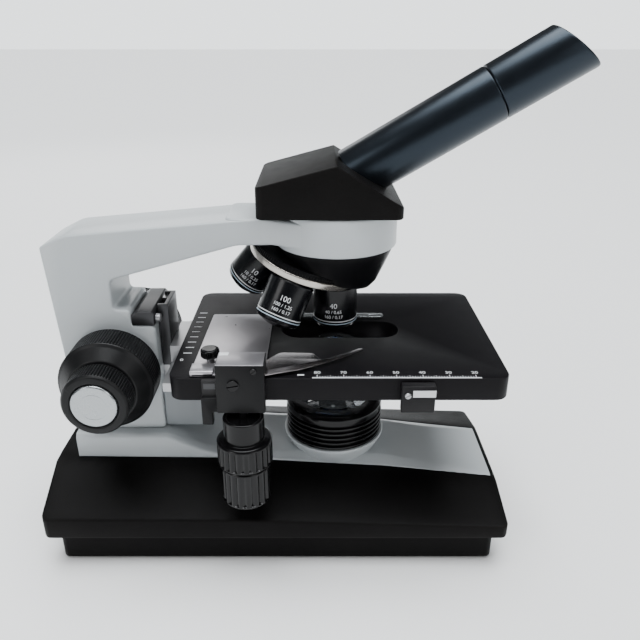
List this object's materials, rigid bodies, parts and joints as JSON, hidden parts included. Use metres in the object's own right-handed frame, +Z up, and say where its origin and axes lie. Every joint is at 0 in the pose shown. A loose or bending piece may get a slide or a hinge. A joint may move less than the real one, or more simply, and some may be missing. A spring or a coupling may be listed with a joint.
{
  "type": "laboratory microscope",
  "caption": "Monocular microscope with a turning nosepiece, coaxial coarse and fine focus, a mechanical stage with drop-down drive knobs, a condenser and a lit base.",
  "frame": {"origin": "the point where the optical axis meets the surface that the feet stand on", "axes": "+X from the arm towards the front of the stage, +Y to the far side of the stage, +Z up along the optical axis"},
  "size_m": [0.2913, 0.1381, 0.2823],
  "materials": {
    "black_casting": "fine crackle enamel, satin",
    "black_enamel": "satin black enamel",
    "black_sheet": "matt black sheet steel",
    "arm_enamel": "smooth pale grey enamel, semi-gloss",
    "black_satin": "satin black anodised tube",
    "objective_black": "semi-gloss black lacquer",
    "gloss_black": "gloss black",
    "black_knob": "moulded black, finely ribbed",
    "black_plastic": "moulded black",
    "rubber": "matt rubber",
    "satin_aluminium": "satin, turned",
    "satin_steel": "satin plated, brushed",
    "bright_steel": "ground steel",
    "dark_steel": "oiled dark steel",
    "chrome": "polished chrome",
    "brass": "machined brass",
    "lens_glass": "coated optical glass",
    "blue_glass": "blue filter glass",
    "lamp_glass": "clear lamp bulb",
    "mirror": "front-silvered mirror"
  },
  "bodies": {
    "base": {"base_casting": "black_casting", "base_cover": "arm_enamel", "bottom_plate": "black_sheet", "rubber_feet": "rubber", "lamp_socket": "black_plastic", "lamp_bulb": "lamp_glass", "lamp_mirror": "mirror", "power_inlet": "black_plastic", "arm_casting": "arm_enamel", "arm_front_box": "arm_enamel", "stop_block": "black_enamel", "focus_guide_rails": "bright_steel", "focus_bushes": "brass", "collector_housing": "gloss_black", "field_lens": "lens_glass", "nosepiece_seat": "black_enamel", "turret_pivot": "bright_steel"},
    "power_switch": {"power_rocker": "black_plastic"},
    "light_dial": {"brightness_dial": "black_plastic"},
    "stop_lever": {"stop_pin": "bright_steel"},
    "coarse_drive": {"coarse_shaft": "bright_steel", "coarse_knobs": "black_knob"},
    "fine_drive": {"fine_shaft": "bright_steel", "fine_knobs": "black_knob", "fine_knob_caps": "satin_aluminium"},
    "tension_collar": {"tension_ring": "black_knob"},
    "coarse_slide": {"focus_carriage": "dark_steel", "focus_rack": "brass"},
    "stage": {"stage_bracket": "satin_aluminium", "stage_plate": "black_enamel", "stage_vernier": "black_enamel", "condenser_holder": "black_enamel"},
    "x_carriage": {"carriage_block": "black_enamel", "x_vernier_plate": "satin_steel"},
    "slide_holder": {"holder_plate": "satin_steel", "fixed_finger": "satin_steel"},
    "holder_screw": {"holder_thumbscrew": "gloss_black", "holder_stud": "bright_steel"},
    "finger": {"spring_finger": "satin_steel"},
    "x_drive": {"x_drive_knob": "gloss_black"},
    "y_drive": {"y_drive_knob": "gloss_black"},
    "condenser": {"condenser_barrel": "black_enamel", "condenser_lens": "lens_glass"},
    "iris": {"iris_lever": "bright_steel"},
    "filter_arm": {"filter_holder": "black_enamel", "filter_glass": "blue_glass"},
    "head": {"head_housing": "black_casting", "head_dovetail": "bright_steel", "head_prism": "lens_glass", "viewing_tube": "black_satin"},
    "head_clamp": {"head_clamp_screw": "black_knob"},
    "eyepiece": {"eyepiece_barrel": "black_satin", "eyepiece_lenses": "lens_glass"},
    "turret": {"nosepiece_turret": "black_enamel", "turret_ring": "chrome", "objective_40": "objective_black", "objective_100": "objective_black", "objective_10": "objective_black", "objective_4": "objective_black", "objective_lenses": "lens_glass"}
  },
  "joints": [
    {"name": "power_rocker_tilt", "type": "hinge", "parent": "base", "child": "power_switch", "pos_m": [-0.153, 0.009, 0.012], "axis": [0, 0, 1], "range_deg": [-7, 7]},
    {"name": "brightness_turn", "type": "hinge", "parent": "base", "child": "light_dial", "pos_m": [-0.158, 0.03, 0.0096], "axis": [-1, 0, 0], "range_deg": [0, 270]},
    {"name": "stop_lever_turn", "type": "hinge", "parent": "base", "child": "stop_lever", "pos_m": [-0.104, -0.015, 0.135], "axis": [1, 0, 0], "range_deg": [-60, 60]},
    {"name": "coarse_focus", "type": "hinge", "parent": "base", "child": "coarse_drive", "pos_m": [-0.1225, 0, 0.1064], "axis": [0, 1, 0], "range_deg": [-5, 90]},
    {"name": "coarse_travel", "type": "slide", "parent": "base", "child": "coarse_slide", "axis": [0, 0, 1], "range_m": [-0.0087, 0.00048]},
    {"name": "fine_focus", "type": "hinge", "parent": "base", "child": "fine_drive", "pos_m": [-0.1225, 0, 0.1064], "axis": [0, 1, 0], "range_deg": [-540, 540]},
    {"name": "fine_travel", "type": "slide", "parent": "coarse_slide", "child": "stage", "axis": [0, 0, 1], "range_m": [-0.00049, 0.00049]},
    {"name": "tension_adjust", "type": "hinge", "parent": "base", "child": "tension_collar", "pos_m": [-0.1225, 0.0205, 0.1064], "axis": [0, 1, 0], "range_deg": [-60, 60]},
    {"name": "x_drive_turn", "type": "hinge", "parent": "x_carriage", "child": "x_drive", "pos_m": [-0.0475, -0.0617, 0.066], "axis": [0, 0, 1], "range_deg": [0, 570]},
    {"name": "x_travel", "type": "slide", "parent": "stage", "child": "x_carriage", "axis": [1, 0, 0], "range_m": [0, 0.0495]},
    {"name": "y_drive_turn", "type": "hinge", "parent": "x_carriage", "child": "y_drive", "pos_m": [-0.0475, -0.0617, 0.082], "axis": [0, 0, 1], "range_deg": [0, 160]},
    {"name": "y_travel", "type": "slide", "parent": "x_carriage", "child": "slide_holder", "axis": [0, 1, 0], "range_m": [0, 0.0139]},
    {"name": "holder_screw_turn", "type": "hinge", "parent": "slide_holder", "child": "holder_screw", "pos_m": [-0.0655, -0.042, 0.127], "axis": [0, 0, 1], "range_deg": [-180, 180]},
    {"name": "finger_swing", "type": "hinge", "parent": "slide_holder", "child": "finger", "pos_m": [-0.043, -0.0545, 0.1227], "axis": [0, 0, 1], "range_deg": [0, 30]},
    {"name": "condenser_travel", "type": "slide", "parent": "stage", "child": "condenser", "axis": [0, 0, 1], "range_m": [-0.005, 0]},
    {"name": "iris_turn", "type": "hinge", "parent": "condenser", "child": "iris", "pos_m": [0, 0, 0.0994], "axis": [0, 0, 1], "range_deg": [-35, 35]},
    {"name": "filter_swing", "type": "hinge", "parent": "condenser", "child": "filter_arm", "pos_m": [0, 0.016, 0.0956], "axis": [0, 0, 1], "range_deg": [0, 85]},
    {"name": "head_turn", "type": "hinge", "parent": "base", "child": "head", "pos_m": [0, 0, 0.194], "axis": [0, 0, 1], "continuous": true},
    {"name": "head_clamp_turn", "type": "hinge", "parent": "base", "child": "head_clamp", "pos_m": [0, 0.038, 0.186], "axis": [0, 1, 0], "range_deg": [-180, 180]},
    {"name": "eyepiece_lift", "type": "slide", "parent": "head", "child": "eyepiece", "axis": [0.8634, 0, 0.5045], "range_m": [0, 0.022]},
    {"name": "turret_turn", "type": "hinge", "parent": "base", "child": "turret", "pos_m": [-0.01884, 0.00401, 0.15731], "axis": [0.3345, -0.0711, 0.9397], "continuous": true}
  ],
  "couplings": [
    {"joint": "coarse_focus", "follows": "coarse_travel", "rad_per_m": -178.57},
    {"joint": "fine_focus", "follows": "fine_travel", "rad_per_m": 19024},
    {"joint": "x_drive_turn", "follows": "x_travel", "rad_per_m": 200},
    {"joint": "y_drive_turn", "follows": "y_travel", "rad_per_m": 200}
  ]
}
